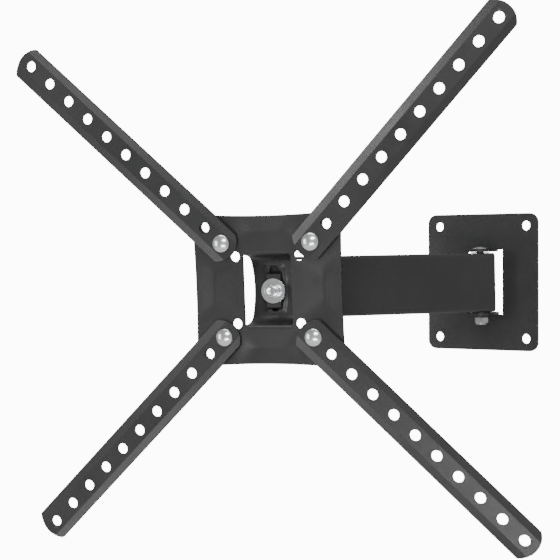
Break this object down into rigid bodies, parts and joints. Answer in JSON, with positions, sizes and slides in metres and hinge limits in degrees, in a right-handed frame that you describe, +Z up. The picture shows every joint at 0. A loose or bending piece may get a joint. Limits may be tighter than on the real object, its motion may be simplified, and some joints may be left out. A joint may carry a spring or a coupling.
{
  "type": "full motion tv wall mount",
  "caption": "Swinging wall mount: a wall plate, a hinged channel arm and a panning, tilting television plate with swivelling hole-row adapter arms.",
  "frame": {"origin": "centre of the wall plate's back face, at the middle of its four screw holes", "axes": "+Y into the wall, +Z up, +X to the right for someone facing the wall"},
  "size_m": [0.4278, 0.2669, 0.435],
  "materials": {
    "black_paint": "satin black powder coat",
    "bright_zinc": "bright plated",
    "zinc": "zinc plated",
    "nylon": "black nylon",
    "friction_pad": "dense black fibre"
  },
  "bodies": {
    "wall": {"wall_plate": "black_paint", "wall_hinge_bolt": "bright_zinc", "wall_hinge_washer": "black_paint", "wall_hinge_nut": "zinc", "wall_hinge_spacer_upper": "nylon", "wall_hinge_spacer_lower": "nylon"},
    "arm": {"link_arm": "black_paint", "head_hinge_bolt": "bright_zinc", "head_hinge_washer": "black_paint", "head_hinge_nut": "zinc", "head_hinge_spacer_upper": "nylon", "head_hinge_spacer_lower": "nylon"},
    "head": {"swivel_head": "black_paint", "friction_pad": "friction_pad", "tilt_clamp_block": "black_paint", "tilt_washer": "bright_zinc", "tilt_spring_washer": "zinc", "tilt_screw": "zinc", "tilt_nut": "zinc"},
    "plate": {"tv_plate": "black_paint"},
    "adapter_upper_left": {"adapter_arm_upper_left": "black_paint", "arm_bolt_upper_left": "bright_zinc", "arm_washer_upper_left": "zinc", "arm_nut_upper_left": "zinc"},
    "adapter_upper_right": {"adapter_arm_upper_right": "black_paint", "arm_bolt_upper_right": "bright_zinc", "arm_washer_upper_right": "zinc", "arm_nut_upper_right": "zinc"},
    "adapter_lower_left": {"adapter_arm_lower_left": "black_paint", "arm_bolt_lower_left": "bright_zinc", "arm_washer_lower_left": "zinc", "arm_nut_lower_left": "zinc"},
    "adapter_lower_right": {"adapter_arm_lower_right": "black_paint", "arm_bolt_lower_right": "bright_zinc", "arm_washer_lower_right": "zinc", "arm_nut_lower_right": "zinc"}
  },
  "joints": [
    {"name": "wall_pan", "type": "hinge", "parent": "wall", "child": "arm", "pos_m": [0.008, -0.022, 0], "axis": [-0.0113, -0.0131, 0.9999], "range_deg": [-49.3, 130.7]},
    {"name": "head_pan", "type": "hinge", "parent": "arm", "child": "head", "pos_m": [-0.10695, -0.15564, -0.00305], "axis": [0.0113, 0.0131, -0.9999], "range_deg": [-36.1, 143.9]},
    {"name": "tilt", "type": "hinge", "parent": "head", "child": "plate", "pos_m": [-0.09082, -0.22425, -0.0057], "axis": [0.9735, 0.2283, 0.014], "range_deg": [-17.6, 12.4]},
    {"name": "swivel_upper_left", "type": "hinge", "parent": "plate", "child": "adapter_upper_left", "pos_m": [-0.13339, -0.21377, 0.03343], "axis": [0.2287, -0.9719, -0.0559], "range_deg": [-20, 20]},
    {"name": "swivel_upper_right", "type": "hinge", "parent": "plate", "child": "adapter_upper_right", "pos_m": [-0.05843, -0.1962, 0.03451], "axis": [0.2287, -0.9719, -0.0559], "range_deg": [-20, 20]},
    {"name": "swivel_lower_left", "type": "hinge", "parent": "plate", "child": "adapter_lower_left", "pos_m": [-0.13332, -0.20934, -0.04344], "axis": [0.2287, -0.9719, -0.0559], "range_deg": [-20, 20]},
    {"name": "swivel_lower_right", "type": "hinge", "parent": "plate", "child": "adapter_lower_right", "pos_m": [-0.05837, -0.19176, -0.04237], "axis": [0.2287, -0.9719, -0.0559], "range_deg": [-20, 20]}
  ]
}
